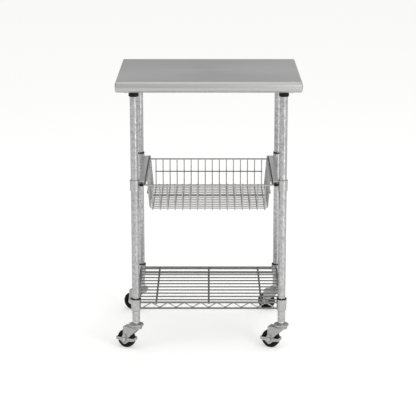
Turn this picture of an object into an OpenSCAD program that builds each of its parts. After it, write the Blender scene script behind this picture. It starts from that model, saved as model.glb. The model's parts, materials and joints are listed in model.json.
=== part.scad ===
// Kitchen island cart: a bullnosed stainless worktop on four grooved round posts, with a
// pull-out wire basket under the worktop, a wire shelf near the floor and four swivel casters.
// Origin: middle of the footprint at floor level. +Z is up and the basket pulls out towards -Y.

/* [Worktop] */
// Overall width across the bulged side edges
top_w = 606; // [590:2:640]
// Overall depth across the front and back bullnoses
top_d = 508; // [496:4:540]
// Height of the work surface above the floor
top_h = 914; // [880:2:960]
// Height of the worktop's edge
edge_h = 36; // [32:1:40]
// How far each side edge bulges out beyond the flat top
edge_bulge = 6; // [4:0.5:8]
// Thickness of the stainless sheet
skin_t = 1.2; // [0.8:0.1:1.6]

/* [Posts] */
// Diameter of the round posts
post_d = 25.4; // [25:0.1:26]
// Wall of the post tube
post_wall = 1.2; // [1:0.1:1.8]
// Distance between the left and right post centres
post_span_x = 487; // [480:1:492]
// Distance between the front and rear post centres
post_span_y = 416; // [410:1:422]
// Distance from one groove to the next
groove_pitch = 25.4; // [20:0.1:30]
// Depth of a groove
groove_depth = 0.4; // [0.3:0.1:0.8]
// Width of a groove at the surface
groove_w = 1.8; // [1.6:0.2:3]

/* [Shelf] */
// Height of the middle of the upper frame wires
shelf_h = 162; // [150:1:190]
// Distance between the upper and lower frame wires
shelf_drop = 20.5; // [19:0.5:24]
// Diameter of the frame wires
frame_wire_d = 6.4; // [6:0.1:7]
// Diameter of the surface wires
surface_wire_d = 4.8; // [4:0.1:5]
// Number of surface wires from front to back
surface_wires = 11; // [9:1:15]
// Diameter of the zigzag truss wires
truss_wire_d = 4; // [3:0.1:4.4]

/* [Basket] */
// Height of the middle of the rim wire
rim_h = 566; // [540:1:600]
// Diameter of the rim wire
rim_wire_d = 5.4; // [5:0.1:6]
// Distance between the middles of the left and right rim wires
rim_w = 418; // [416:1:419]
// Depth of the basket below the rim
basket_depth = 95; // [80:1:110]
// Distance from one wall wire to the next
basket_pitch = 24.87; // [24:0.01:25]
// Diameter of the wall and floor wires
mesh_wire_d = 4; // [3:0.1:4]
// How far the basket pulls out
basket_travel = 305; // [250:5:305]

/* [Casters] */
// Wheel diameter
wheel_d = 62; // [58:1:64]
// Wheel width
wheel_w = 20; // [18:0.5:20]
// Distance from the swivel axis back to the wheel axle
trail = 38; // [34:1:40]
// Direction in which the stored casters trail, turned from +X
swing = 152; // [0:1:359]

/* [Hidden] */
$fn = 48;

// Clearances
weld_gap = 0.02;       // between wires of one welded part that only touch
fixed_gap = 0.05;      // between fixed pieces that slip together
moving_gap = 0.3;      // between faces of pieces that move past each other
bend_lap = 0.2;        // how far a wire's bend laps over the straight beside it
bend_swell = 0.04;     // how much thicker a wire is in a bend

// Posts and the corners that they stand at
post_x = post_span_x / 2;
post_y = post_span_y / 2;
post_r = post_d / 2;
post_bore_r = post_r - post_wall;
FRONT_LEFT = [-post_x, -post_y];
FRONT_RIGHT = [post_x, -post_y];
REAR_LEFT = [-post_x, post_y];
REAR_RIGHT = [post_x, post_y];
FRONT_CORNERS = [FRONT_LEFT, FRONT_RIGHT];
REAR_CORNERS = [REAR_LEFT, REAR_RIGHT];
CORNERS = concat(FRONT_CORNERS, REAR_CORNERS);

// Worktop
bulge_r = (edge_bulge * edge_bulge + edge_h * edge_h / 4) / (2 * edge_bulge);
nose_y = top_d / 2 - edge_h / 2;
core_gap = 0.1;
core_bottom = top_h - edge_h + skin_t + core_gap;
window_x = top_w / 2 - 22;
window_y = nose_y - 2;

// Sockets under the worktop
socket_plate = [64, 44, 3];
socket_plate_y = 1;
socket_wall = 2;
socket_depth = 18;
screw_x = 25;
screw_y = 15;
screw_d = 4;
screw_len = 20;
collar_top_z = core_bottom - socket_plate.z - weld_gap;
top_collar_r = 16.5;
top_collar_bottom = 861;

// Casters, from the floor up
axle_z = wheel_d / 2;
axle_d = 8;
crown_bottom = wheel_d + 10;
crown_t = 3;
crown_top = crown_bottom + crown_t;
crown_r = 20;
leg_t = 2.5;
leg_inner = wheel_w / 2 + 1.5;
leg_outer = leg_inner + leg_t;
lower_race_h = 4;
ball_d = 6;
ball_circle_r = 15;
ball_count = 12;
ball_z = crown_top + lower_race_h + moving_gap + ball_d / 2;
top_race_z = ball_z + ball_d / 2 + weld_gap;
top_race_r = 25;
top_race_t = 2.5;
hex_z = top_race_z + top_race_t + weld_gap;
hex_h = 8;
hex_r = 10.8;
kingpin_d = 10;
stem_d = 10;
stem_len = 26;
insert_z = hex_z + hex_h + weld_gap;
insert_flange_t = 1.5;
insert_len = 30;
bolt_head_r = 7.4;
bolt_head_t = 5;
nut_t = 6;
tyre_bore_r = wheel_d / 2 - 9;
tyre_round = 4;
hub_r = 9;
brake_t = 1.5;
brake_face = leg_outer + moving_gap;
brake_half_x = wheel_d / 2 + 1.3 + brake_t;
brake_pin_d = 4;
brake_pin_rise = 12;
brake_hole_r = bolt_head_r + 1.5;
brake_tip = 17;
strap_h = 10;

// Posts stand on the inserts and end inside the sockets
post_z = insert_z + insert_flange_t + weld_gap;
post_len = core_bottom + socket_depth - socket_wall - moving_gap - post_z;
first_groove = 12;
groove_count = floor((post_len - first_groove - groove_w) / groove_pitch) + 1;

// Shelf
shelf_collar_h = 38;
shelf_collar_top = shelf_h + 12;
shelf_collar_bottom = shelf_collar_top - shelf_collar_h;
shelf_collar_r = [15.8, 17.4];
sleeve_r = [15, 14.2];
sleeve_split = 2;
shelf_lip_h = 3.5;
shelf_lip_r = 16.9;
weld_depth = 1;
surface_pitch = post_span_y / (surface_wires + 0.35);
surface_z = shelf_h + 1.5;
support_x = 176;
truss_bend_r = 5;
truss_gap_z = 4;

// Rails: channels that open inwards and carry the basket's rim
rail_t = 1.5;
ledge_z = rim_h - rim_wire_d / 2 - moving_gap;
rail_inner_x = 212.5;
ledge_inner_x = rim_w / 2 - 2;
rail_outer_x = 230;
rail_h = 15.5;
rail_lip = 6.4;
rail_front_y = -206;
rail_rear_y = 197;
rail_collar_r = [15.3, 15.9];
rail_collar_h = 36;
rail_collar_bottom = rim_h - 19;
rail_sleeve_drop = 1;
rear_lip_h = 5;
rear_lip_r = 15.6;
stop_tab_y = -190;

// Basket
rim_x = rim_w / 2;
rim_rear_y = 190;
front_bar_y = -210;
front_bar_half = 226;
rim_corner_r = 10;
wall_top_z = rim_h + rim_wire_d / 2 - 0.5;
floor_z = rim_h - basket_depth;
side_top_x = rim_x - rim_wire_d / 2 - mesh_wire_d / 2 - weld_gap;
side_foot_x = side_top_x - 8;
rear_wall_y = rim_rear_y - rim_wire_d / 2 - mesh_wire_d / 2 - weld_gap;
front_top_y = front_bar_y + rim_wire_d / 2 + mesh_wire_d / 2 + weld_gap;
front_foot_y = front_top_y + 54;
mesh_bend_r = 9;
long_wires = 16;
cross_wires = 14;
first_cross_y = front_foot_y + 8;
last_cross_y = rear_wall_y - mesh_bend_r - mesh_wire_d / 2 - 0.5;
cross_pitch = (last_cross_y - first_cross_y) / (cross_wires - 1);
band_drop = 43;
cap_size = [12.5, 7.4, 7.4];
guide_pin_d = 6;
guide_pin_ys = [stop_tab_y + 2 + guide_pin_d / 2 + basket_travel,
    rim_rear_y - rim_corner_r - guide_pin_d / 2 - 1];

// ---------------------------------------------------------------- helpers

// Repeats its children at each corner of a list
module at_corners(corners) {
    for (c = corners) translate([c.x, c.y, 0]) children();
}

// Places its children in a caster's frame: +X is the way the wheel trails
module in_caster(corner) {
    translate([corner.x, corner.y, 0]) rotate([0, 0, swing]) children();
}

function seg_dir(p, i) = let (d = p[i + 1] - p[i]) d / norm(d);
function turn_at(p, i) =
    let (a = seg_dir(p, i - 1), b = seg_dir(p, i)) atan2(a.x * b.y - a.y * b.x, a * b);
function trim_at(p, i, r) =
    (i == 0 || i == len(p) - 1) ? 0 : r * tan(abs(turn_at(p, i)) / 2);

// A round wire along a flat path of points, with each inner point bent to a radius.
// A bend is a hair thicker than the straights and laps over their ends.
module bent_wire(path, d, bend_r) {
    lap = bend_lap / bend_r * 180 / PI;
    for (i = [0 : len(path) - 2]) {
        u = seg_dir(path, i);
        a = path[i] + u * trim_at(path, i, bend_r);
        b = path[i + 1] - u * trim_at(path, i + 1, bend_r);
        translate(a) rotate([0, 0, atan2(u.y, u.x)]) rotate([0, 90, 0])
            cylinder(h = norm(b - a), d = d);
    }
    for (i = [1 : 1 : len(path) - 2]) {
        turn = turn_at(path, i);
        side = sign(turn);
        u = seg_dir(path, i - 1);
        a = path[i] - u * trim_at(path, i, bend_r);
        c = a + side * bend_r * [-u.y, u.x];
        translate(c) rotate([0, 0, atan2(u.y, u.x) - side * 90 + min(turn, 0) - lap])
            rotate_extrude(angle = abs(turn) + 2 * lap) translate([bend_r, 0])
                circle(d = d + bend_swell);
    }
}

// A straight wire between two points that differ along X, or along Y
module wire_x(x0, x1, y, z, d) {
    translate([x0, y, z]) rotate([0, 90, 0]) cylinder(h = x1 - x0, d = d);
}
module wire_y(y0, y1, x, z, d) {
    translate([x, y0, z]) rotate([-90, 0, 0]) cylinder(h = y1 - y0, d = d);
}

// A tapered ring around the post: r holds the outer radii at its foot and its top
module tapered_ring(z0, h, r, bore) {
    translate([0, 0, z0]) difference() {
        cylinder(h = h, r1 = r[0], r2 = r[1]);
        translate([0, 0, -1]) cylinder(h = h + 2, r1 = bore[0] , r2 = bore[1]);
    }
}

// Two half shells that wedge a collar onto a post, with a lip that shows above the collar
module split_sleeve(z0, h, lip_h, lip_r) {
    difference() {
        union() {
            translate([0, 0, z0]) cylinder(h = h, r1 = sleeve_r[0], r2 = sleeve_r[1]);
            translate([0, 0, z0 + h]) cylinder(h = lip_h, r = lip_r);
        }
        translate([0, 0, z0 - 1]) cylinder(h = h + lip_h + 2, r = post_r + fixed_gap);
        translate([-sleeve_split / 2, -30, z0 - 1]) cube([sleeve_split, 60, h + lip_h + 2]);
    }
}

// Steel collar whose tapered bore fits over a split sleeve
module wedge_collar(z0, h, r) {
    slope = (sleeve_r[1] - sleeve_r[0]) / h;
    tapered_ring(z0, h, r,
        [sleeve_r[0] - slope + fixed_gap, sleeve_r[1] + slope + fixed_gap]);
}

// ---------------------------------------------------------------- worktop

// Slab that runs along X with a half-round nose in front and behind
module nose_body(inset) {
    r = edge_h / 2 - inset;
    cube([top_w + 2, 2 * nose_y, 2 * r], center = true);
    for (s = [-1, 1]) translate([0, s * nose_y, 0]) rotate([0, 90, 0])
        cylinder(h = top_w + 2, r = r, center = true, $fn = 96);
}

// Slab that runs along Y with bulged side edges
module side_body(inset) {
    x = top_w / 2 - bulge_r;
    cube([2 * x, top_d + 2, edge_h + 2], center = true);
    for (s = [-1, 1]) translate([s * x, 0, 0]) rotate([90, 0, 0])
        cylinder(h = top_d + 2, r = bulge_r - inset, center = true, $fn = 180);
}

module worktop_form(inset) {
    translate([0, 0, top_h - edge_h / 2]) intersection() {
        nose_body(inset);
        side_body(inset);
    }
}

module tabletop_skin() {
    color("gainsboro") difference() {
        worktop_form(0);
        worktop_form(skin_t);
        translate([-window_x, -window_y, top_h - edge_h - 1])
            cube([2 * window_x, 2 * window_y, skin_t + 2]);
    }
}

module tabletop_core() {
    color("burlywood") difference() {
        worktop_form(skin_t + core_gap);
        at_corners(CORNERS) {
            translate([0, 0, core_bottom - 1])
                cylinder(h = socket_depth + 1 + moving_gap, r = socket_outer_r() + moving_gap);
            at_screws() translate([0, 0, core_bottom - 1])
                cylinder(h = screw_len + 2, d = screw_d + 0.04, $fn = 24);
        }
    }
}

function socket_bore_r() = post_r + 0.15;
function socket_outer_r() = socket_bore_r() + socket_wall;

module at_screws() {
    for (x = [-screw_x, screw_x], y = [-screw_y, screw_y])
        translate([x, y + socket_plate_y, 0]) children();
}

module top_sockets() {
    color("silver") at_corners(CORNERS) difference() {
        union() {
            translate([-socket_plate.x / 2, socket_plate_y - socket_plate.y / 2,
                    core_bottom - socket_plate.z - weld_gap / 2])
                cube([socket_plate.x, socket_plate.y, socket_plate.z]);
            translate([0, 0, core_bottom - socket_plate.z / 2])
                cylinder(h = socket_depth + socket_plate.z / 2, r = socket_outer_r());
        }
        translate([0, 0, core_bottom - 5])
            cylinder(h = 5 + socket_depth - socket_wall, r = socket_bore_r());
        at_screws() translate([0, 0, core_bottom - 5])
            cylinder(h = 8, d = screw_d + 0.6, $fn = 24);
    }
}

module top_socket_screws() {
    head_z = core_bottom - socket_plate.z - weld_gap;
    color("silver") at_corners(CORNERS) at_screws() difference() {
        union() {
            translate([0, 0, head_z - 2.4]) cylinder(h = 2.4, r1 = 3, r2 = 4, $fn = 24);
            translate([0, 0, head_z]) cylinder(h = screw_len, d = screw_d, $fn = 24);
        }
        for (a = [0, 90]) rotate([0, 0, a]) translate([-2, -0.4, head_z - 3]) cube([4, 0.8, 2]);
    }
}

// Round-cornered black collars at the top of the posts
module top_post_collars() {
    h = collar_top_z - top_collar_bottom;
    c = 2;
    color("black") at_corners(CORNERS) translate([0, 0, top_collar_bottom])
        rotate_extrude() polygon([
            [post_r + fixed_gap, 0], [top_collar_r - c, 0], [top_collar_r - c * 0.3, c * 0.3],
            [top_collar_r, c], [top_collar_r, h - 0.5], [top_collar_r - 0.5, h],
            [post_r + fixed_gap, h]]);
}

// ---------------------------------------------------------------- posts

module post(corner) {
    outline = [for (i = [0 : groove_count - 1], p = [[-0.5, 0], [-0.2, 1], [0.2, 1], [0.5, 0]])
        [post_r - p[1] * groove_depth, first_groove + i * groove_pitch + p[0] * groove_w]];
    color("lightgray") translate([corner.x, corner.y, post_z]) rotate_extrude() polygon(concat(
        [[post_bore_r, 0], [post_r - 0.4, 0], [post_r, 0.4]], outline,
        [[post_r, post_len - 0.4], [post_r - 0.4, post_len], [post_bore_r, post_len]]));
}

// Threaded plugs pressed into the feet of the posts
module caster_inserts() {
    color("dimgray") at_corners(CORNERS) translate([0, 0, insert_z]) difference() {
        union() {
            cylinder(h = insert_flange_t, r = post_r - 0.3);
            cylinder(h = insert_len, r = post_bore_r - weld_gap);
        }
        translate([0, 0, -1]) cylinder(h = insert_len + 2, d = stem_d + 2 * fixed_gap);
    }
}

// ---------------------------------------------------------------- shelf

// Four straight wires at one height, cut to fit against the corner collars
module frame_wires(z) {
    reach = shelf_collar_r[0] - weld_depth;
    difference() {
        for (s = [-1, 1]) {
            wire_x(-post_x + reach, post_x - reach, s * post_y, z, frame_wire_d);
            wire_y(-post_y + reach, post_y - reach, s * post_x, z, frame_wire_d);
        }
        at_corners(CORNERS) translate([0, 0, shelf_collar_bottom]) cylinder(
            h = shelf_collar_h, r1 = shelf_collar_r[0] + weld_gap,
            r2 = shelf_collar_r[1] + weld_gap);
    }
}

module shelf_upper_frame() {
    color("silver") frame_wires(shelf_h);
}

module shelf_lower_frame() {
    color("silver") frame_wires(shelf_h - shelf_drop);
}

// A zigzag wire that runs along X between two heights, welded inside the frame wires. The back
// of the shelf has none.
module truss_wire(span, periods) {
    half = span / periods / 2;
    rise = shelf_drop - truss_gap_z;
    slope_dx = norm([half, rise - 2 * truss_bend_r]);
    slant = atan2(rise - 2 * truss_bend_r, half) + asin(2 * truss_bend_r / slope_dx);
    peak = truss_bend_r * tan(slant / 2) * sin(slant) - truss_bend_r * (1 - cos(slant));
    path = [for (i = [0 : 2 * periods])
        [(i - periods) * half, (i % 2 == 0 ? -1 : 1) * (rise / 2 + peak)]];
    rotate([90, 0, 0]) bent_wire(path, truss_wire_d, truss_bend_r);
}

module shelf_truss_wires() {
    inset = frame_wire_d / 2 + truss_wire_d / 2 + weld_gap;
    span_x = post_span_x - 2 * shelf_collar_r[1] - 14;
    span_y = post_span_y - 2 * shelf_collar_r[1] - 14;
    color("silver") translate([0, 0, shelf_h - shelf_drop / 2]) {
        translate([0, inset - post_y, 0]) truss_wire(span_x, 8);
        for (s = [-1, 1])
            translate([s * (post_x - inset), 0, 0]) rotate([0, 0, 90]) truss_wire(span_y, 7);
    }
}

module shelf_surface_wires() {
    end_x = post_x - frame_wire_d / 2 - weld_gap;
    color("silver") for (i = [0 : surface_wires - 1])
        wire_x(-end_x, end_x, (i - (surface_wires - 1) / 2) * surface_pitch, surface_z,
            surface_wire_d);
}

module shelf_support_wires() {
    end_y = post_y - frame_wire_d / 2 - weld_gap;
    z = surface_z - surface_wire_d / 2 - frame_wire_d / 2 - weld_gap;
    color("silver") for (x = [-support_x, 0, support_x]) wire_y(-end_y, end_y, x, z, frame_wire_d);
}

module shelf_corner_collars() {
    color("silver") at_corners(CORNERS)
        wedge_collar(shelf_collar_bottom, shelf_collar_h, shelf_collar_r);
}

module shelf_split_sleeves() {
    color("black") at_corners(CORNERS)
        split_sleeve(shelf_collar_bottom, shelf_collar_h + weld_gap, shelf_lip_h, shelf_lip_r);
}

// ---------------------------------------------------------------- rails

module rail_section() {
    polygon([
        [ledge_inner_x, 0], [rail_outer_x, 0], [rail_outer_x, rail_h], [rail_inner_x, rail_h],
        [rail_inner_x, rail_h - rail_lip], [rail_inner_x + rail_t, rail_h - rail_lip],
        [rail_inner_x + rail_t, rail_h - rail_t], [rail_outer_x - rail_t, rail_h - rail_t],
        [rail_outer_x - rail_t, rail_t], [ledge_inner_x, rail_t]]);
}

// The right-hand rail: a channel, its rear stop and the tab that catches the guide pins
module rail() {
    length = rail_rear_y - rail_front_y;
    base_z = ledge_z - rail_t;
    difference() {
        union() {
            translate([0, rail_rear_y, base_z]) rotate([90, 0, 0])
                linear_extrude(height = length) rail_section();
            translate([rail_inner_x - 8, rail_rear_y - rail_t, base_z])
                cube([rail_outer_x - rail_inner_x + 8, rail_t, rail_h]);
            translate([rim_x + rim_wire_d, stop_tab_y, base_z + rail_t / 2])
                cube([rail_outer_x - rim_x - rim_wire_d - rail_t / 2, 2, rail_h - rail_t]);
        }
        for (s = [-1, 1]) translate([post_x, s * post_y, rail_collar_bottom])
            cylinder(h = rail_collar_h, r1 = rail_collar_r[0], r2 = rail_collar_r[1]);
    }
}

module rail_right() {
    color("gray") rail();
}

module rail_left() {
    color("gray") mirror([1, 0, 0]) rail();
}

module rail_collars() {
    color("silver") at_corners(CORNERS)
        wedge_collar(rail_collar_bottom, rail_collar_h, rail_collar_r);
}

module rail_split_sleeves_front() {
    color("black") at_corners(FRONT_CORNERS)
        split_sleeve(rail_collar_bottom, rail_collar_h - rail_sleeve_drop, 0.2, sleeve_r[1]);
}

module rail_split_sleeves_rear() {
    color("black") at_corners(REAR_CORNERS)
        split_sleeve(rail_collar_bottom, rail_collar_h + weld_gap, rear_lip_h, rear_lip_r);
}

// ---------------------------------------------------------------- basket

// U of heavy wire round the sides and the back, open at the front where the bar closes it
module basket_rim() {
    front = front_bar_y + rim_wire_d / 2 + weld_gap;
    color("silver") translate([0, 0, rim_h]) bent_wire(
        [[-rim_x, front], [-rim_x, rim_rear_y], [rim_x, rim_rear_y], [rim_x, front]],
        rim_wire_d, rim_corner_r);
}

module basket_front_bar() {
    color("silver") wire_x(-front_bar_half, front_bar_half, front_bar_y, rim_h, rim_wire_d);
}

// Black bumpers on the ends of the front bar, which close against the rails
module basket_bar_caps() {
    r = 1.5;
    inner = front_bar_half + 1 - cap_size.x;
    back = rail_front_y - moving_gap;
    color("black") for (s = [-1, 1]) difference() {
        translate([s * (inner + cap_size.x / 2), back - cap_size.y / 2, rim_h])
            rounded_block(cap_size, r);
        wire_x(min(s * (inner - 1), s * front_bar_half), max(s * (inner - 1), s * front_bar_half),
            front_bar_y, rim_h, rim_wire_d + 2 * weld_gap);
    }
}

// A block with its four long edges along X rounded
module rounded_block(size, r) {
    rotate([90, 0, 90]) linear_extrude(height = size.x, center = true) union() {
        square([size.y - 2 * r, size.z], center = true);
        square([size.y, size.z - 2 * r], center = true);
        for (a = [-1, 1], b = [-1, 1])
            translate([a * (size.y / 2 - r), b * (size.z / 2 - r)]) circle(r = r);
    }
}

// U wires: down one side, across the floor and up the other side
module basket_cross_wires() {
    path = [[-side_top_x, wall_top_z], [-side_foot_x, floor_z], [side_foot_x, floor_z],
        [side_top_x, wall_top_z]];
    color("silver") for (i = [0 : cross_wires - 1])
        translate([0, first_cross_y + i * cross_pitch, 0]) rotate([90, 0, 0])
            bent_wire(path, mesh_wire_d, mesh_bend_r);
}

// U wires: down the back, along under the floor and up the sloping front
module basket_long_wires() {
    z = floor_z - mesh_wire_d - weld_gap;
    path = [[front_top_y, wall_top_z], [front_foot_y, z], [rear_wall_y, z],
        [rear_wall_y, wall_top_z]];
    color("silver") for (i = [0 : long_wires - 1])
        translate([(i - (long_wires - 1) / 2) * basket_pitch, 0, 0]) rotate([90, 0, 90])
            bent_wire(path, mesh_wire_d, mesh_bend_r);
}

// Horizontal wires half-way down the four walls
module basket_band_wires() {
    z = rim_h - band_drop;
    d = mesh_wire_d;
    half_x = (long_wires - 1) / 2 * basket_pitch + d / 2;
    drop = wall_top_z - floor_z;
    side_x = side_top_x - (side_top_x - side_foot_x) * (wall_top_z - z) / drop;
    slope = (front_foot_y - front_top_y) / (drop + d);
    front_y = front_top_y + slope * (wall_top_z - z);
    off = d + weld_gap;
    color("silver") {
        wire_x(-half_x, half_x, rear_wall_y - off, z, d);
        wire_x(-half_x, half_x, front_y + off * norm([1, slope]), z, d);
        for (s = [-1, 1])
            wire_y(first_cross_y - d / 2, last_cross_y + d / 2, s * (side_x + off + 0.05), z, d);
    }
}

// Pins on the rim that run inside the channels: they stop the basket and keep it level
module basket_guide_pins() {
    inner = rim_x + rim_wire_d / 2 + weld_gap;
    outer = rail_outer_x - rail_t - moving_gap - 1;
    color("silver") for (y = guide_pin_ys, s = [-1, 1])
        wire_x(min(s * inner, s * outer), max(s * inner, s * outer), y, rim_h + 0.3,
            guide_pin_d);
}

// ---------------------------------------------------------------- casters

// Hex stem with the kingpin below it and its riveted end under the yoke
module caster_stems() {
    rivet_top = crown_bottom - moving_gap;
    color("silver") at_corners(CORNERS) rotate([0, 0, swing]) {
        translate([0, 0, hex_z]) intersection() {
            cylinder(h = hex_h, r = hex_r, $fn = 6);
            cylinder(h = hex_h, r1 = hex_r, r2 = hex_r - 0.6);
        }
        translate([0, 0, rivet_top - 1]) cylinder(h = hex_z - rivet_top + 2, d = kingpin_d);
        translate([0, 0, rivet_top - 3]) cylinder(h = 3, r1 = 7, r2 = 9);
        translate([0, 0, hex_z + 1]) cylinder(h = hex_h + stem_len, d = stem_d);
    }
}

// Pressed discs with a turned-down lip that cover the swivel balls
module caster_top_races() {
    color("silver") at_corners(CORNERS) translate([0, 0, top_race_z]) rotate_extrude() polygon([
        [kingpin_d / 2 + weld_gap, 0], [top_race_r - 2.2, 0], [top_race_r - 1.8, -3.5],
        [top_race_r, -3.5], [top_race_r, top_race_t - 1.4], [top_race_r - 1.4, top_race_t],
        [kingpin_d / 2 + weld_gap, top_race_t]]);
}

module caster_balls() {
    color("gainsboro") at_corners(CORNERS) for (i = [0 : ball_count - 1])
        rotate([0, 0, i * 360 / ball_count]) translate([ball_circle_r, 0, ball_z])
            sphere(d = ball_d, $fn = 24);
}

// Side of the yoke, drawn with X along the trail and Y up
module leg_outline() {
    shoulder = trail + 6;
    difference() {
        union() {
            polygon([[-14, crown_bottom + 1], [shoulder, crown_bottom + 1], [shoulder + 1, 46],
                [trail + 10, axle_z], [trail - 10, axle_z], [16, 45]]);
            translate([trail, axle_z]) circle(r = 10);
        }
        translate([trail, axle_z]) circle(d = axle_d + 2 * fixed_gap);
        translate([trail, axle_z + brake_pin_rise]) circle(d = brake_pin_d + 2 * weld_gap);
    }
}

// Pressed yoke: a crown with the lower ball race, and two legs
module yoke(corner) {
    color("silver") in_caster(corner) {
        difference() {
            union() {
                translate([0, 0, crown_bottom]) linear_extrude(height = crown_t) union() {
                    circle(r = crown_r);
                    translate([-8, -leg_outer]) square([trail + 14, 2 * leg_outer]);
                }
                translate([0, 0, crown_top - 1]) cylinder(h = 1 + lower_race_h, r1 = 19, r2 = 18);
            }
            translate([0, 0, crown_top]) cylinder(h = lower_race_h + 1, r1 = 11, r2 = 12);
            translate([0, 0, crown_bottom - 1])
                cylinder(h = crown_t + 2, d = kingpin_d + 2 * fixed_gap);
        }
        for (y = [-leg_inner, leg_outer]) translate([0, y, 0]) rotate([90, 0, 0])
            linear_extrude(height = leg_t) leg_outline();
    }
}

// Axle bolt with its nut
module axle(corner) {
    reach = leg_outer + weld_gap;
    color("silver") in_caster(corner) translate([trail, 0, axle_z]) rotate([-90, 0, 0]) {
        translate([0, 0, -reach - nut_t - 2]) cylinder(h = 2 * reach + nut_t + 3, d = axle_d);
        translate([0, 0, reach]) cylinder(h = bolt_head_t, r = bolt_head_r, $fn = 6);
        difference() {
            translate([0, 0, -reach - nut_t]) cylinder(h = nut_t, r = bolt_head_r, $fn = 6);
            translate([0, 0, -reach - nut_t - 1])
                cylinder(h = nut_t + 2, d = axle_d + 2 * weld_gap);
        }
    }
}

// Wheel core: hub, web and rim in one moulding
module wheel(corner) {
    hub_half = leg_inner - moving_gap;
    rim_half = wheel_w / 2 - 1;
    web_half = 3;
    rim_in = tyre_bore_r - 3.5;
    color("dimgray") in_caster(corner) translate([trail, 0, axle_z]) rotate([-90, 0, 0])
        rotate_extrude() polygon([
            [axle_d / 2 + fixed_gap, -hub_half], [hub_r - 1, -hub_half], [hub_r, -web_half],
            [rim_in, -web_half], [rim_in + 0.5, -rim_half], [tyre_bore_r, -rim_half],
            [tyre_bore_r, rim_half], [rim_in + 0.5, rim_half], [rim_in, web_half],
            [hub_r, web_half], [hub_r - 1, hub_half], [axle_d / 2 + fixed_gap, hub_half]]);
}

// Tread ring with rounded shoulders
module tyre(corner) {
    half = wheel_w / 2;
    r = wheel_d / 2;
    color("black") in_caster(corner) translate([trail, 0, axle_z]) rotate([-90, 0, 0])
        rotate_extrude() difference() {
            union() {
                translate([tyre_bore_r + weld_gap, -half])
                    square([r - tyre_bore_r - tyre_round - weld_gap, 2 * half]);
                translate([tyre_bore_r + weld_gap, -half + tyre_round])
                    square([r - tyre_bore_r - weld_gap, 2 * (half - tyre_round)]);
                for (s = [-1, 1]) translate([r - tyre_round, s * (half - tyre_round)])
                    circle(r = tyre_round);
            }
        }
}

// Places its children on the two rivets that the brake strap rocks on
module at_brake_pins(corner) {
    in_caster(corner) for (s = [0, 1]) mirror([0, s, 0])
        translate([trail, 0, axle_z + brake_pin_rise]) rotate([-90, 0, 0]) children();
}

// Rivets through the two legs of the yoke
module brake_pins(corner) {
    head_z = brake_face + brake_t + moving_gap;
    color("silver") at_brake_pins(corner) {
        translate([0, 0, leg_inner]) cylinder(h = head_z - leg_inner + 0.5, d = brake_pin_d);
        translate([0, 0, head_z]) cylinder(h = 1.2, r = 3.5);
    }
}

// Outline of the plate that hangs on a rivet, with Y up and the axle at the origin
module brake_plate_outline() {
    w = brake_half_x - 6;
    polygon([[-w, -strap_h / 2], [-16, -strap_h / 2 - 2], [-3, -brake_tip], [3, -brake_tip],
        [16, -strap_h / 2 - 2], [w, -strap_h / 2], [w, strap_h / 2], [12, strap_h / 2],
        [6, brake_pin_rise + 3], [-6, brake_pin_rise + 3], [-12, strap_h / 2],
        [-w, strap_h / 2]]);
    translate([0, brake_pin_rise]) circle(r = 6);
}

module rounded_rectangle(half_x, half_y, r) {
    square([2 * half_x, 2 * (half_y - r)], center = true);
    square([2 * (half_x - r), 2 * half_y], center = true);
    for (a = [-1, 1], b = [-1, 1])
        translate([a * (half_x - r), b * (half_y - r)]) circle(r = r);
}

// Brake of a front caster: a strap right round the wheel that rocks on two rivets. Rocking it
// brings one of its ends onto the tread.
module brake_lever(corner) {
    color("silver") in_caster(corner) translate([trail, 0, axle_z]) difference() {
        union() {
            translate([0, 0, -strap_h / 2]) linear_extrude(height = strap_h) difference() {
                rounded_rectangle(brake_half_x, brake_face + brake_t, 4);
                rounded_rectangle(brake_half_x - brake_t, brake_face, 4 - brake_t);
            }
            for (y = [brake_face + brake_t, -brake_face]) translate([0, y, 0])
                rotate([90, 0, 0]) linear_extrude(height = brake_t) brake_plate_outline();
        }
        rotate([90, 0, 0]) cylinder(h = 80, r = brake_hole_r, center = true);
        translate([0, 0, brake_pin_rise]) rotate([90, 0, 0])
            cylinder(h = 80, d = brake_pin_d + 2 * fixed_gap, center = true);
    }
}

// ---------------------------------------------------------------- nodes

tabletop_skin();
tabletop_core();
top_sockets();
top_socket_screws();
top_post_collars();
post(FRONT_LEFT);  // post_front_left
post(FRONT_RIGHT);  // post_front_right
post(REAR_LEFT);  // post_rear_left
post(REAR_RIGHT);  // post_rear_right
caster_inserts();
shelf_upper_frame();
shelf_lower_frame();
shelf_truss_wires();
shelf_surface_wires();
shelf_support_wires();
shelf_corner_collars();
shelf_split_sleeves();
rail_left();
rail_right();
rail_collars();
rail_split_sleeves_front();
rail_split_sleeves_rear();
basket_rim();
basket_front_bar();
basket_bar_caps();
basket_cross_wires();
basket_long_wires();
basket_band_wires();
basket_guide_pins();
caster_stems();
caster_top_races();
caster_balls();
yoke(FRONT_LEFT);  // yoke_front_left
yoke(FRONT_RIGHT);  // yoke_front_right
yoke(REAR_LEFT);  // yoke_rear_left
yoke(REAR_RIGHT);  // yoke_rear_right
axle(FRONT_LEFT);  // axle_front_left
axle(FRONT_RIGHT);  // axle_front_right
axle(REAR_LEFT);  // axle_rear_left
axle(REAR_RIGHT);  // axle_rear_right
wheel(FRONT_LEFT);  // wheel_front_left
wheel(FRONT_RIGHT);  // wheel_front_right
wheel(REAR_LEFT);  // wheel_rear_left
wheel(REAR_RIGHT);  // wheel_rear_right
tyre(FRONT_LEFT);  // tyre_front_left
tyre(FRONT_RIGHT);  // tyre_front_right
tyre(REAR_LEFT);  // tyre_rear_left
tyre(REAR_RIGHT);  // tyre_rear_right
brake_pins(FRONT_LEFT);  // brake_pins_front_left
brake_pins(FRONT_RIGHT);  // brake_pins_front_right
brake_lever(FRONT_LEFT);  // brake_lever_front_left
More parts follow.
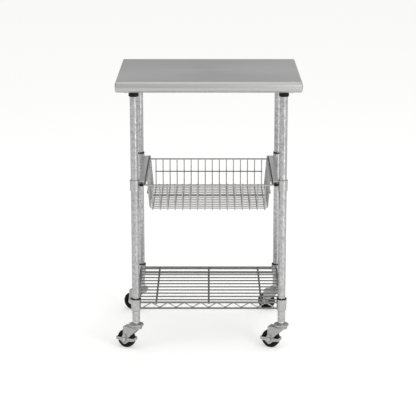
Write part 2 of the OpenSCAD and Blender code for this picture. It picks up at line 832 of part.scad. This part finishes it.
brake_lever(FRONT_RIGHT);  // brake_lever_front_right
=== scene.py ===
"""Looks of the kitchen island cart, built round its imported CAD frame.

Metres, Z up, front towards -Y.
"""
import json
import math
import random

import bmesh
import bpy
from mathutils import Matrix, Vector


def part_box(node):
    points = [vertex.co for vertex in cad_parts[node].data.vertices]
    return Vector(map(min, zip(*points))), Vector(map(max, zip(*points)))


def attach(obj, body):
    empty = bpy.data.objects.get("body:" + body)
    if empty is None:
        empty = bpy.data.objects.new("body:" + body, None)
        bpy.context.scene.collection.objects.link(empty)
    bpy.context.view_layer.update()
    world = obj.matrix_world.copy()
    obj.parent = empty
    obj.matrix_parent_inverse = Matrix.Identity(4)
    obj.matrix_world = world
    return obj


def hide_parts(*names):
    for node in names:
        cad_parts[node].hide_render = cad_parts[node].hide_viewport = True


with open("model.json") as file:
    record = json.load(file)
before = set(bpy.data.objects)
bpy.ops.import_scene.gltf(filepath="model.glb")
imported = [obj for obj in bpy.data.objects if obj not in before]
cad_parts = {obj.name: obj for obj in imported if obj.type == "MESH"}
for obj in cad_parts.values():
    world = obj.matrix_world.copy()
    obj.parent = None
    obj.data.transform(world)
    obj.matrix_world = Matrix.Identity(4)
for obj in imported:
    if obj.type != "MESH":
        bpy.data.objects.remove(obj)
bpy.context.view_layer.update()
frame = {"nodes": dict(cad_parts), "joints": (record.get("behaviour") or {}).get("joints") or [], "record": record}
NODES = frame["nodes"]
random.seed(7)


# ------------------------------------------------------------------ materials

COOL = 1.005            # how much bluer plating is than grey


class Nodes:
    """A few short ways to wire a material's nodes."""

    def __init__(self, name):
        self.mat = bpy.data.materials.new(name)
        self.mat.use_nodes = True
        self.tree = self.mat.node_tree
        self.shader = self.tree.nodes["Principled BSDF"]
        self.coords = self.tree.nodes.new("ShaderNodeTexCoord").outputs["Object"]

    def set(self, **values):
        for key, value in values.items():
            self.shader.inputs[key.replace("_", " ")].default_value = value
        return self

    def link(self, source, target):
        self.tree.links.new(source, target)

    def stretched(self, scale):
        """The object's coordinates, scaled by a number for each axis."""
        node = self.tree.nodes.new("ShaderNodeMapping")
        node.inputs["Scale"].default_value = scale
        self.link(self.coords, node.inputs["Vector"])
        return node.outputs["Vector"]

    def noise(self, scale, detail=3.0, vector=None):
        node = self.tree.nodes.new("ShaderNodeTexNoise")
        node.inputs["Scale"].default_value = scale
        node.inputs["Detail"].default_value = detail
        self.link(vector or self.coords, node.inputs["Vector"])
        return node.outputs["Fac"]

    def cells(self, scale, output="Distance", vector=None):
        node = self.tree.nodes.new("ShaderNodeTexVoronoi")
        node.inputs["Scale"].default_value = scale
        self.link(vector or self.coords, node.inputs["Vector"])
        return node.outputs[output]

    def ramp(self, source, low, high, start=0.3, end=0.7):
        """Maps source from start..end to a number or colour from low to high."""
        node = self.tree.nodes.new("ShaderNodeValToRGB")
        for element, place, value in zip(node.color_ramp.elements, (start, end), (low, high)):
            element.position = place
            element.color = (*value, 1) if hasattr(value, "__len__") else (value,) * 3 + (1,)
        self.link(source, node.inputs["Fac"])
        return node.outputs["Color"]

    def mix(self, factor, a, b, blend="MIX"):
        node = self.tree.nodes.new("ShaderNodeMix")
        node.data_type, node.blend_type = "RGBA", blend
        for socket, value in ((node.inputs[0], factor), (node.inputs[6], a), (node.inputs[7], b)):
            if isinstance(value, bpy.types.NodeSocket):
                self.link(value, socket)
            elif hasattr(value, "__len__"):
                socket.default_value = (*value, 1)
            else:
                socket.default_value = value if socket.type == "VALUE" else (value,) * 3 + (1,)
        return node.outputs[2]

    def bump(self, *layers):
        """Stacks (height, depth in metres, strength) layers and leads them to the shader."""
        normal = None
        for height, depth, strength in layers:
            node = self.tree.nodes.new("ShaderNodeBump")
            node.inputs["Distance"].default_value = depth
            node.inputs["Strength"].default_value = strength
            self.link(height, node.inputs["Height"])
            if normal:
                self.link(normal, node.inputs["Normal"])
            normal = node.outputs["Normal"]
        self.link(normal, self.shader.inputs["Normal"])

    def colour(self, socket):
        self.link(socket, self.shader.inputs["Base Color"])

    def roughness(self, socket):
        self.link(socket, self.shader.inputs["Roughness"])


def stainless():
    n = Nodes("brushed_stainless").set(Metallic=1.0, Anisotropic=0.3)
    strokes = n.noise(1.0, 4.0, n.stretched((5, 1100, 1100)))
    broad = n.noise(1.0, 3.0, n.stretched((1.5, 60, 60)))
    smudge = n.noise(6.0, 4.0)
    n.colour(n.mix(0.35, n.ramp(strokes, (0.42, 0.42, 0.42), (0.52, 0.52, 0.515)),
                   n.ramp(broad, (0.43, 0.43, 0.43), (0.50, 0.50, 0.50))))
    n.roughness(n.mix(0.5, n.ramp(strokes, 0.36, 0.48), n.ramp(smudge, 0.36, 0.46)))
    n.bump((strokes, 0.00004, 0.35), (broad, 0.0001, 0.1))
    return n.mat


def plated(name, low, high, rough_low, rough_high, peel=0.06):
    """Bright plating with faint orange peel, fine rub marks and patches that have dulled."""
    n = Nodes(name).set(Metallic=1.0, Specular_Tint=(0.7, 0.7, 0.7, 1))
    dull = n.noise(1.0, 5.0, n.stretched((170, 170, 100)))
    rub = n.noise(1.0, 3.0, n.stretched((700, 700, 90)))
    n.colour(n.ramp(dull, (low, low, low * COOL), (high, high, high * COOL)))
    n.roughness(n.mix(0.4, n.ramp(dull, rough_high, rough_low),
                      n.ramp(rub, rough_low, rough_high)))
    n.bump((n.noise(420.0, 2.0), 0.00004, peel), (rub, 0.00002, 0.12))
    return n.mat


def zinc(name, low, high, rough_low, rough_high):
    """Zinc plated pressing: mottled crystals with faint yellow and blue patches."""
    n = Nodes(name).set(Metallic=1.0)
    crystals = n.cells(420.0, "Color")
    grey = n.tree.nodes.new("ShaderNodeRGBToBW")
    n.link(crystals, grey.inputs["Color"])
    patches = n.noise(55.0, 4.0)
    lo, hi = (low,) * 3, (high,) * 3
    tint = n.ramp(patches, (0.97, 0.985, 1.0), (1.0, 0.985, 0.95), 0.35, 0.65)
    n.colour(n.mix(1.0, n.ramp(grey.outputs["Val"], lo, hi, 0.2, 0.8), tint, "MULTIPLY"))
    n.roughness(n.mix(0.5, n.ramp(patches, rough_high, rough_low),
                      n.ramp(grey.outputs["Val"], rough_low, rough_high, 0.1, 0.9)))
    n.bump((n.noise(900.0, 2.0), 0.00005, 0.18), (patches, 0.0002, 0.08))
    return n.mat


def moulded(name, low, high, rough_low, rough_high, grain=1500.0, depth=0.00006):
    """Moulded plastic or rubber with a fine grain and a little dust."""
    n = Nodes(name).set(Specular_IOR_Level=0.16)
    cloud = n.noise(60.0, 4.0)
    dust = n.noise(260.0, 5.0)
    n.colour(n.mix(n.ramp(dust, 0.0, 0.2, 0.6, 0.85), n.ramp(cloud, (low,) * 3, (high,) * 3),
                   (high * 2.2, high * 2.15, high * 2.05)))
    n.roughness(n.mix(0.5, n.ramp(cloud, rough_low, rough_high),
                      n.ramp(dust, rough_low, rough_high)))
    n.bump((n.noise(grain, 2.0), depth, 0.5), (cloud, 0.0002, 0.1))
    return n.mat


def particle_board():
    """Raw chip board: flakes of several browns pressed together."""
    n = Nodes("particle_board").set(Specular_IOR_Level=0.25)
    flakes = n.stretched((1.0, 2.4, 1.5))
    chip = n.cells(210.0, "Color", flakes)
    grey = n.tree.nodes.new("ShaderNodeRGBToBW")
    n.link(chip, grey.inputs["Color"])
    small = n.cells(620.0, "Distance", flakes)
    brown = n.ramp(grey.outputs["Val"], (0.30, 0.235, 0.17), (0.60, 0.51, 0.40), 0.15, 0.85)
    n.colour(n.mix(n.ramp(small, 0.0, 0.4, 0.2, 0.8), brown, (0.42, 0.34, 0.25)))
    n.roughness(n.ramp(grey.outputs["Val"], 0.62, 0.85, 0.1, 0.9))
    n.bump((small, 0.0004, 0.5), (grey.outputs["Val"], 0.0003, 0.4))
    return n.mat


MATERIALS = {
    "stainless": stainless(),
    "core_board": particle_board(),
    "zinc_steel": zinc("zinc_hardware", 0.42, 0.56, 0.24, 0.40),
    "zinc_pressing": zinc("zinc_pressing", 0.34, 0.46, 0.28, 0.42),
    "chrome_post": plated("chrome_post", 0.34, 0.54, 0.20, 0.36, 0.10),
    "chrome_wire": plated("chrome_wire", 0.40, 0.51, 0.20, 0.34),
    "chrome_collar": plated("chrome_collar", 0.38, 0.50, 0.24, 0.36, 0.10),
    # Painted light: the rails' plating is made much lighter than the other chrome, to lift the shade inside their
    # channel.
    "chrome_rail": plated("chrome_rail", 0.72, 0.86, 0.24, 0.36, 0.08),
    "black_plastic": moulded("black_nylon", 0.004, 0.007, 0.34, 0.50),
    "wheel_core": moulded("wheel_core", 0.005, 0.009, 0.34, 0.50),
    "tread": moulded("black_rubber", 0.004, 0.007, 0.50, 0.68, 1100.0, 0.0001),
}
# Painted shade: a darker copy of the wire plating, for the shelf wires and the basket's rear band, which lie in
# shade under the worktop and basket, and for their welds.
SHADE_PAINTED_WIRE = plated("wire_painted_shade", 0.19, 0.27, 0.22, 0.34)
# Painted highlight: a near-white, glossier copy of the plating for the caster stems' hex, standing in for its
# bright glints.
HIGHLIGHT_PAINTED_HEX = plated("hex_painted_highlight", 0.62, 0.80, 0.08, 0.18)
SLOT_OF = {part["node"]: part["material_slot"] for part in frame["record"]["subparts"]}
BODY_OF = {node: body for body, nodes in frame["record"]["behaviour"]["bodies"].items()
           for node in nodes}
# the nodes that wear the darker wire plating, which paints their shade
SHADE_PAINTED_NODES = ("shelf_upper_frame", "shelf_lower_frame", "shelf_surface_wires",
              "shelf_support_wires", "basket_band_wires")


def material_of(node):
    if node in SHADE_PAINTED_NODES:
        return SHADE_PAINTED_WIRE
    # the caster stems wear the painted highlight
    return HIGHLIGHT_PAINTED_HEX if node == "caster_stems" else MATERIALS[SLOT_OF[node]]


def wear(obj, material):
    obj.data.materials.clear()
    obj.data.materials.append(material)


for node_name, cad_object in NODES.items():
    wear(cad_object, material_of(node_name))


# ------------------------------------------------------------------ pieces

MM = 0.001
LOW, HIGH = 0, 1


def edge(node, side, axis):
    """Where a CAD node ends along an axis, to 0.1 mm, so that the facets of wires don't count."""
    return round(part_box(node)[side]["XYZ".index(axis)] / MM, 1) * MM


def middle(node, axis):
    return (edge(node, LOW, axis) + edge(node, HIGH, axis)) / 2


def thickness(node):
    return edge(node, HIGH, "Z") - edge(node, LOW, "Z")


SHARP_ANGLE = 32        # degrees between two faces from which their edge is rounded

# the worktop, whose return ends 22 mm in from its sides and 2 mm in from where its noses begin
TOP_HALF_X, TOP_HALF_Y = edge("tabletop_skin", HIGH, "X"), edge("tabletop_skin", HIGH, "Y")
TOP_Z, EDGE_H = edge("tabletop_skin", HIGH, "Z"), thickness("tabletop_skin")
SIDE_BULGE = 6 * MM
SHEET_T = 1.2 * MM
WINDOW_X, WINDOW_Y = TOP_HALF_X - 22 * MM, TOP_HALF_Y - EDGE_H / 2 - 2 * MM
HEM_SHARE = 0.96        # how far from the nose to the window the hem lies

# the wire grids: these repeat the CAD's sizes, because the nodes' boxes don't hold them exactly
PITCH = 24.87 * MM
LONG_WIRES, CROSS_WIRES = 16, 14
FIRST_CROSS_Y, LAST_CROSS_Y = -143.28 * MM, 173.78 * MM
SURFACE_WIRES, SURFACE_PITCH = 11, 36.652 * MM
BAND_WELD_Y = 183.28 * MM

# the welds, near where the surfaces of two wires meet
SUPPORT_REACH = edge("shelf_support_wires", HIGH, "X") - thickness("shelf_support_wires") / 2
SUPPORT_X = (-SUPPORT_REACH, 0.0, SUPPORT_REACH)
FLOOR_WELD_Z = edge("basket_cross_wires", LOW, "Z")
BAND_WELD_Z = middle("basket_band_wires", "Z")
RIM_WELD_Y = edge("basket_rim", HIGH, "Y") - thickness("basket_rim") - 0.1 * MM
RIM_WELD_Z = middle("basket_rim", "Z") + 0.2 * MM
BAR_WELD_Y = edge("basket_front_bar", HIGH, "Y") + 0.1 * MM
CROSS_WELD_Z = edge("shelf_surface_wires", LOW, "Z")
END_WELD_X = edge("shelf_surface_wires", HIGH, "X") + 0.1 * MM
END_WELD_Z = middle("shelf_surface_wires", "Z") - 0.4 * MM
SUPPORT_WELD_Y = edge("shelf_support_wires", HIGH, "Y") + 0.2 * MM
SUPPORT_WELD_Z = middle("shelf_support_wires", "Z") + 1.1 * MM

# the casters, placed by their joints, and where a yoke's legs are bent, from the swivel's axis
JOINT_PLACE = {joint["name"]: joint["pos_m"] for joint in frame["joints"] if "pos_m" in joint}
SWIVEL, AXLE = JOINT_PLACE["caster_swivel_front_left"], JOINT_PLACE["wheel_spin_front_left"]
TRAIL = round(math.dist(SWIVEL[:2], AXLE[:2]) / MM, 1) * MM
WHEEL_R = AXLE[2]
LEG_FLAT_X, NOSE_LEN, LEG_TOP_Z = 24.4 * MM, 40.4 * MM, 71.9 * MM


def add_piece(name, bm, body, material, replaced=(), smooth_angle=40):
    """Turns bm into a piece that rides on body, in the place of the replaced nodes."""
    mesh = bpy.data.meshes.new(name)
    bmesh.ops.recalc_face_normals(bm, faces=bm.faces)
    bm.to_mesh(mesh)
    bm.free()
    mesh.shade_smooth()
    mesh.set_sharp_from_angle(angle=math.radians(smooth_angle))
    obj = bpy.data.objects.new(name, mesh)
    bpy.context.scene.collection.objects.link(obj)
    wear(obj, material)
    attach(obj, body)
    if replaced:
        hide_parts(*replaced)
    return obj


def finished(node, bevel, reshape=None):
    """A copy of a CAD node's shape with its sharp edges rounded, as pressing and moulding do."""
    source = NODES[node]
    bm = bmesh.new()
    bm.from_mesh(source.data)
    bm.transform(source.matrix_world)
    bmesh.ops.remove_doubles(bm, verts=bm.verts, dist=2e-6)
    bmesh.ops.dissolve_limit(bm, angle_limit=math.radians(0.8), verts=bm.verts, edges=bm.edges)
    if reshape:
        reshape(bm)
    sharp = [e for e in bm.edges if len(e.link_faces) == 2
             and e.calc_face_angle(0.0) > math.radians(SHARP_ANGLE)]
    bmesh.ops.bevel(bm, geom=sharp, offset=bevel, segments=2, profile=0.5, affect="EDGES",
                    clamp_overlap=True, loop_slide=True, miter_outer="ARC")
    obj = add_piece(node + "_finished", bm, BODY_OF[node], material_of(node),
                    (node,), 50)
    even = obj.modifiers.new("even_normals", "WEIGHTED_NORMAL")
    even.keep_sharp = True
    even.weight = 90


def slice_up(bm, axis, places):
    """Cuts the mesh along planes across an axis, so that it can be bent there."""
    normal = Vector([float(i == axis) for i in range(3)])
    for place in places:
        bmesh.ops.bisect_plane(bm, geom=bm.verts[:] + bm.edges[:] + bm.faces[:], dist=1e-6,
                               plane_co=normal * place, plane_no=normal)


def on_caster(corner):
    """Frame of a caster: X the way that the wheel trails, with the origin on the floor."""
    x, y, _ = JOINT_PLACE["caster_swivel_" + corner]
    wheel_x, wheel_y, _ = JOINT_PLACE["wheel_spin_" + corner]
    swing = round(math.degrees(math.atan2(wheel_y - y, wheel_x - x)), 1)
    return Matrix.Translation((x, y, 0)) @ Matrix.Rotation(math.radians(swing), 4, "Z")


def on_axle(corner):
    """Frame of a wheel: Z along the axle, with the origin in the middle of the wheel."""
    return (on_caster(corner) @ Matrix.Translation((TRAIL, 0, WHEEL_R))
            @ Matrix.Rotation(math.pi / 2, 4, "X"))


def drawn_in(corner):
    """Bends the front of a yoke's legs inwards below the crown, as a deep pressing is drawn."""
    place = on_caster(corner)

    def reshape(bm):
        bm.transform(place.inverted())
        slice_up(bm, 0, [x * MM for x in (24.4, 20, 16, 12, 8, 4, 0, -4, -8, -12)])
        slice_up(bm, 2, [LEG_TOP_Z] + [z * MM for z in (70, 68, 66, 60, 54, 48)])
        for v in bm.verts:
            in_front = v.co.x < LEG_FLAT_X and abs(v.co.y) > 11 * MM
            if v.co.z < LEG_TOP_Z + 0.05 * MM and in_front:
                share = min((LEG_FLAT_X - v.co.x) / NOSE_LEN, 0.97)
                depth = min((LEG_TOP_Z - v.co.z) / (6 * MM), 1.0)
                narrow = 1 - math.sqrt(1 - share * share)
                v.co.y *= 1 - narrow * max(depth, 0.0)
        bm.transform(place)
    return reshape


def board_corners(bm):
    """Rounds the corners of the board so that they stay inside the sheet."""
    flat_x, flat_y = TOP_HALF_X - SIDE_BULGE, TOP_HALF_Y - EDGE_H / 2
    room_x, room_y = SIDE_BULGE - 1.6 * MM, EDGE_H / 2 - 1.6 * MM
    slice_up(bm, 0, (-flat_x, flat_x))
    slice_up(bm, 1, (-flat_y, flat_y))
    for v in bm.verts:
        over_x, over_y = abs(v.co.x) - flat_x, abs(v.co.y) - flat_y
        if over_x > -1e-6 and over_y > -1e-6:
            size = math.hypot(over_x / room_x, over_y / room_y)
            rise = min(abs(v.co.z - TOP_Z + EDGE_H / 2) / room_y, 1.0)
            limit = math.sqrt(1 - rise * rise) * 0.9
            shrink = min(1.0, limit / size) if size > 1e-6 else 1.0
            v.co.x = math.copysign(flat_x + over_x * shrink, v.co.x)
            v.co.y = math.copysign(flat_y + over_y * shrink, v.co.y)


def worktop_outline():
    """Where each corner of the worktop's plan is cut: the signs of X and Y, and how far round."""
    steps = 14
    for quarter, (sx, sy) in enumerate(((1, 1), (-1, 1), (-1, -1), (1, -1))):
        for i in range(steps + 1):
            share = i / steps if quarter % 2 == 0 else 1 - i / steps
            yield sx, sy, math.cos(share * math.pi / 2), math.sin(share * math.pi / 2)


def worktop_profile():
    """The sheet's section from the flat top round the nose to the hem, as (kind, amount, z)."""
    low, middle, nose_turns, hem_turns = TOP_Z - EDGE_H, TOP_Z - EDGE_H / 2, 28, 7
    yield "in", 12 * MM, TOP_Z
    yield "in", 1.2 * MM, TOP_Z
    for i in range(nose_turns + 1):
        a = math.pi / 2 - math.pi * i / nose_turns
        yield "out", math.cos(a), middle + EDGE_H / 2 * math.sin(a)
    for share in (0.06, 0.5, 0.94):
        yield "under", share, low
    for i in range(1, hem_turns):
        a = -math.pi / 2 + math.pi * i / hem_turns
        yield "hem", math.cos(a) * SHEET_T / 2, low + SHEET_T / 2 * (1 + math.sin(a))
    yield "under", 0.94, low + SHEET_T
    yield "under", 0.2, low + SHEET_T


def worktop_sheet():
    """Sheet pressed over the board: a bullnose in front and behind, softer bulged sides, and a
    return under the edge that ends in a rounded hem."""
    flat_x, flat_y = TOP_HALF_X - SIDE_BULGE, TOP_HALF_Y - EDGE_H / 2
    under_x, under_y = WINDOW_X - flat_x, WINDOW_Y - flat_y
    bm = bmesh.new()
    rows = []
    for kind, amount, z in worktop_profile():
        row = []
        for sx, sy, cx, cy in worktop_outline():
            if kind == "in":
                x, y = flat_x - amount, flat_y - amount
            elif kind == "out":
                x, y = flat_x + SIDE_BULGE * cx * amount, flat_y + EDGE_H / 2 * cy * amount
            elif kind == "under":
                x, y = flat_x + under_x * amount, flat_y + under_y * amount
            else:
                x = flat_x + under_x * HEM_SHARE - amount
                y = flat_y + under_y * HEM_SHARE - amount
            row.append(bm.verts.new((sx * x, sy * y, z)))
        rows.append(row)
    for upper, lower in zip(rows, rows[1:]):
        for i in range(len(upper)):
            j = (i + 1) % len(upper)
            bm.faces.new((upper[i], lower[i], lower[j], upper[j]))
    bm.faces.new(rows[0])
    bmesh.ops.remove_doubles(bm, verts=bm.verts, dist=1e-6)
    add_piece("worktop_sheet", bm, BODY_OF["tabletop_skin"], MATERIALS["stainless"],
              ("tabletop_skin",), 60)


def weld_nuggets(name, places, radius, height, body, material, axis="Z"):
    """Small squashed beads of melted metal where two wires cross."""
    bm = bmesh.new()
    for place in places:
        size = [radius * random.uniform(0.92, 1.08) for _ in range(3)]
        size["XYZ".index(axis)] = height
        shape = Matrix.Translation(place) @ Matrix.Diagonal((*size, 1.0))
        bmesh.ops.create_uvsphere(bm, u_segments=10, v_segments=6, radius=1.0, matrix=shape)
    add_piece(name, bm, body, material, (), 70)


def turned_tyre(corner):
    """Tread ring with rounded shoulders, a line moulded into each side and a fine seam."""
    half, bore, rim, shoulder = 10 * MM, 22.02 * MM, WHEEL_R, 4 * MM
    dip = half - 0.5 * MM
    side = [(bore, dip), (bore + 0.5 * MM, half), (24.3 * MM, half), (24.6 * MM, dip),
            (25.2 * MM, dip), (25.5 * MM, half)]
    steps = 8
    for i in range(steps + 1):
        a = math.pi / 2 * (1 - i / steps)
        side.append((rim - shoulder + shoulder * math.cos(a),
                     half - shoulder + shoulder * math.sin(a)))
    side += [(rim, 0.35 * MM), (rim - 0.15 * MM, 0.2 * MM)]
    outline = side + [(r, -y) for r, y in reversed(side)]
    bm = bmesh.new()
    turns = 96
    rings = []
    for i in range(turns):
        a = 2 * math.pi * i / turns
        rings.append([bm.verts.new((r * math.cos(a), r * math.sin(a), y)) for r, y in outline])
    count = len(outline)
    for i in range(turns):
        this, following = rings[i], rings[(i + 1) % turns]
        for j in range(count):
            k = (j + 1) % count
            bm.faces.new((this[j], this[k], following[k], following[j]))
    bm.transform(on_axle(corner))
    add_piece("tread_" + corner, bm, "roller_" + corner, MATERIALS["tread"],
              ("tyre_" + corner,), 30)


def wheel_ribs(corner):
    """Six ribs on each side of the wheel's web, between its hub and its rim."""
    bm = bmesh.new()
    size = Vector((9.6, 1.6, 4.6)) * MM
    for side in (-1, 1):
        for i in range(6):
            place = (Matrix.Rotation(math.pi / 3 * i, 4, "Z")
                     @ Matrix.Translation((13.7 * MM, 0, side * 5.1 * MM)))
            bmesh.ops.create_cube(bm, size=1.0, matrix=place @ Matrix.Diagonal((*size, 1.0)))
    bmesh.ops.bevel(bm, geom=bm.edges[:], offset=0.35 * MM, segments=2, profile=0.5, affect="EDGES")
    bm.transform(on_axle(corner))
    add_piece("wheel_ribs_" + corner, bm, "roller_" + corner, MATERIALS["wheel_core"],
              (), 40)


def spread(count, first, last):
    return [first + (last - first) * i / (count - 1) for i in range(count)]


def basket_welds():
    xs = [(i - (LONG_WIRES - 1) / 2) * PITCH for i in range(LONG_WIRES)]
    ys = spread(CROSS_WIRES, FIRST_CROSS_Y, LAST_CROSS_Y)
    weld_nuggets("basket_floor_welds", [(x, y, FLOOR_WELD_Z) for x in xs for y in ys],
                 2.5 * MM, 1.3 * MM, "basket", MATERIALS["chrome_wire"])
    # the rear band's welds wear the same painted shade as the band
    weld_nuggets("basket_rear_welds", [(x, BAND_WELD_Y, BAND_WELD_Z) for x in xs],
                 2.4 * MM, 1.3 * MM, "basket", SHADE_PAINTED_WIRE, "Y")
    weld_nuggets("basket_rim_welds", [(x, RIM_WELD_Y, RIM_WELD_Z) for x in xs],
                 2.3 * MM, 1.2 * MM, "basket", MATERIALS["chrome_wire"], "Y")
    weld_nuggets("basket_bar_welds", [(x, BAR_WELD_Y, RIM_WELD_Z) for x in xs],
                 2.3 * MM, 1.2 * MM, "basket", MATERIALS["chrome_wire"], "Y")


def shelf_welds():
    ys = [(i - (SURFACE_WIRES - 1) / 2) * SURFACE_PITCH for i in range(SURFACE_WIRES)]
    # the shelf's welds wear the shelf wires' painted shade
    weld_nuggets("shelf_cross_welds", [(x, y, CROSS_WELD_Z) for x in SUPPORT_X for y in ys],
                 3.2 * MM, 1.6 * MM, "frame", SHADE_PAINTED_WIRE)
    weld_nuggets("shelf_end_welds",
                 [(s * END_WELD_X, y, END_WELD_Z) for s in (-1, 1) for y in ys],
                 2.2 * MM, 1.3 * MM, "frame", SHADE_PAINTED_WIRE, "X")
    weld_nuggets("shelf_support_welds",
                 [(x, s * SUPPORT_WELD_Y, SUPPORT_WELD_Z) for s in (-1, 1) for x in SUPPORT_X],
                 2.9 * MM, 1.4 * MM, "frame", SHADE_PAINTED_WIRE, "Y")


worktop_sheet()
finished("tabletop_core", 0.3 * MM, reshape=board_corners)
basket_welds()
shelf_welds()
CORNERS = ("front_left", "front_right", "rear_left", "rear_right")
for node_name, bevel in (
        ("shelf_corner_collars", 0.5), ("rail_collars", 0.4),
        ("rail_left", 0.35), ("rail_right", 0.35),
        ("top_sockets", 0.4), ("top_post_collars", 0.3), ("shelf_split_sleeves", 0.4),
        ("rail_split_sleeves_rear", 0.35), ("basket_bar_caps", 0.5), ("basket_front_bar", 0.5),
        ("basket_guide_pins", 0.5), ("caster_stems", 0.35), ("caster_top_races", 0.5)):
    finished(node_name, bevel * MM)
for corner in CORNERS:
    finished("yoke_" + corner, 0.8 * MM, reshape=drawn_in(corner))
    finished("axle_" + corner, 0.35 * MM)
    finished("wheel_" + corner, 0.6 * MM)
    turned_tyre(corner)
    wheel_ribs(corner)
for corner in CORNERS[:2]:
    finished("brake_lever_" + corner, 0.4 * MM)


# ------------------------------------------------------------------ studio

CAMERA_PLACE = (0.00128, -5.1521, 1.7421)
CAMERA_PITCH, CAMERA_YAW = 0.24842, 0.00077
CAMERA_LENS = 133.9
LIGHTS_AIM = Vector((0, 0, 0.5))


def stage_object(name, mesh, material):
    obj = bpy.data.objects.new(name, mesh)
    bpy.context.scene.collection.objects.link(obj)
    mesh.materials.append(material)


def disc_mesh(name, radius, segments=96):
    bm = bmesh.new()
    bmesh.ops.create_circle(bm, cap_ends=True, radius=radius, segments=segments)
    mesh = bpy.data.meshes.new(name)
    bm.to_mesh(mesh)
    bm.free()
    return mesh


def studio():
    paper = Nodes("studio_paper").set(
        Base_Color=(0.86, 0.86, 0.855, 1), Roughness=0.85, Specular_IOR_Level=0.1,
        Emission_Color=(1, 1, 1, 1), Emission_Strength=0.30)
    stage_object("studio_floor", disc_mesh("studio_floor", 60.0), paper.mat)

    world = bpy.data.worlds.new("studio")
    bpy.context.scene.world = world
    world.use_nodes = True
    tree = world.node_tree
    back = tree.nodes["Background"]
    coords = tree.nodes.new("ShaderNodeTexCoord")
    split = tree.nodes.new("ShaderNodeSeparateXYZ")
    tree.links.new(coords.outputs["Generated"], split.inputs[0])
    total = None
    for axis, weight in (("X", 0.16), ("Y", -0.12), ("Z", 0.20)):
        scaled = tree.nodes.new("ShaderNodeMath")
        scaled.operation = "MULTIPLY_ADD"
        tree.links.new(split.outputs[axis], scaled.inputs[0])
        scaled.inputs[1].default_value = weight
        if total is None:
            scaled.inputs[2].default_value = 0.62
        else:
            tree.links.new(total, scaled.inputs[2])
        total = scaled.outputs[0]
    tree.links.new(total, back.inputs["Color"])
    back.inputs["Strength"].default_value = 1.0

    for name, place, size, power in (
            ("key_light", (2.2, -2.6, 3.4), 1.6, 30.0),
            ("fill_light", (-2.8, -1.8, 2.4), 2.0, 8.0),
            ("top_light", (0.2, 0.6, 3.6), 2.2, 12.0),
            ("strip_light", (1.05, -1.5, 0.85), 0.4, 4.0)):
        light = bpy.data.lights.new(name, "AREA")
        light.size, light.energy = size, power
        if name == "strip_light":
            light.shape, light.size_y = "RECTANGLE", 1.6
        obj = bpy.data.objects.new(name, light)
        bpy.context.scene.collection.objects.link(obj)
        obj.location = place
        obj.visible_camera = False
        obj.rotation_mode = "QUATERNION"
        aim = LIGHTS_AIM - Vector(place)
        obj.rotation_quaternion = aim.to_track_quat("-Z", "Y")

    scene = bpy.context.scene
    scene.view_settings.view_transform = "Standard"
    cam = bpy.data.objects.new("camera", bpy.data.cameras.new("camera"))
    scene.collection.objects.link(cam)
    cam.data.sensor_width = 36.0
    cam.data.lens = CAMERA_LENS
    cam.data.clip_end = 200.0
    cam.location = CAMERA_PLACE
    cam.rotation_euler = (math.pi / 2 - CAMERA_PITCH, 0, CAMERA_YAW)
    scene.camera = cam


studio()
